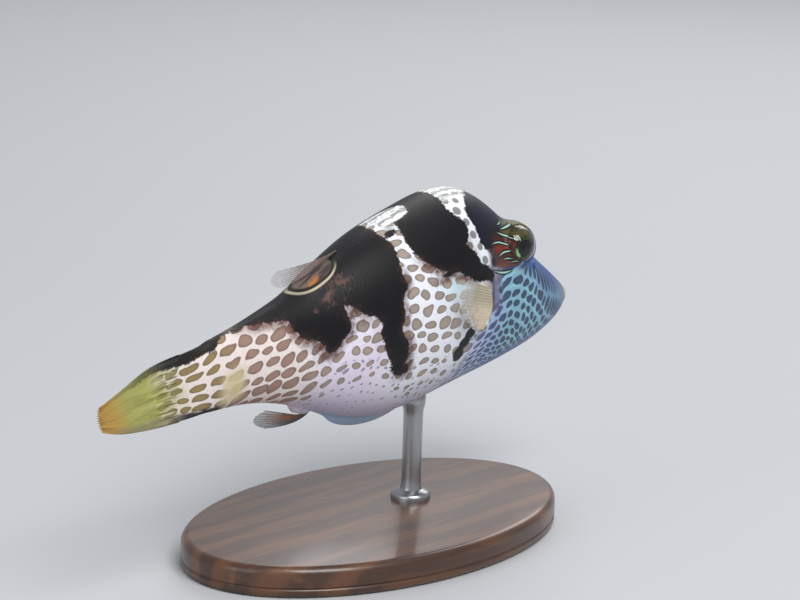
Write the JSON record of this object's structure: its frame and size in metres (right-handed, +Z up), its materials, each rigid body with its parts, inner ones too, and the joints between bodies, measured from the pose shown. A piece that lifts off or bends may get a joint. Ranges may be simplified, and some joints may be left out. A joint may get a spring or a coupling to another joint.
{
  "type": "valentini puffer model",
  "caption": "Still, life-size display model of a swimming saddled sharpnose puffer, head turned a little, held over a flat oval base by one rod.",
  "frame": {"origin": "middle of the bounding box's footprint, on the underside of the stand's base", "axes": "+X ahead along the fish's body towards its snout, +Y to the fish's left, +Z up"},
  "size_m": [0.0898, 0.037, 0.0452],
  "materials": {
    "head_skin": "blue head with a fine pale net, black cap, satin wet skin",
    "trunk_skin": "white with tan spots and black saddles, satin wet skin",
    "tail_skin": "tan cells in a white net, satin wet skin",
    "eye": "clear glossy eye with a green and gold iris",
    "beak": "polished ivory",
    "dorsal_fin": "clear membrane with pale rays, orange at the base",
    "anal_fin": "clear grey membrane with rays, orange at the base",
    "caudal_fin": "olive yellow with dark edges, satin",
    "pectoral_fin": "clear membrane with tan rays",
    "plinth": "satin dark walnut",
    "rod": "brushed"
  },
  "bodies": {
    "root": {"head": "head_skin", "trunk": "trunk_skin", "tail": "tail_skin", "eye_right": "eye", "eye_left": "eye", "beak": "beak", "fin_dorsal": "dorsal_fin", "fin_anal": "anal_fin", "fin_caudal": "caudal_fin", "fin_pectoral_right": "pectoral_fin", "fin_pectoral_left": "pectoral_fin", "stand_base": "plinth", "stand_rod": "rod"}
  },
  "joints": []
}
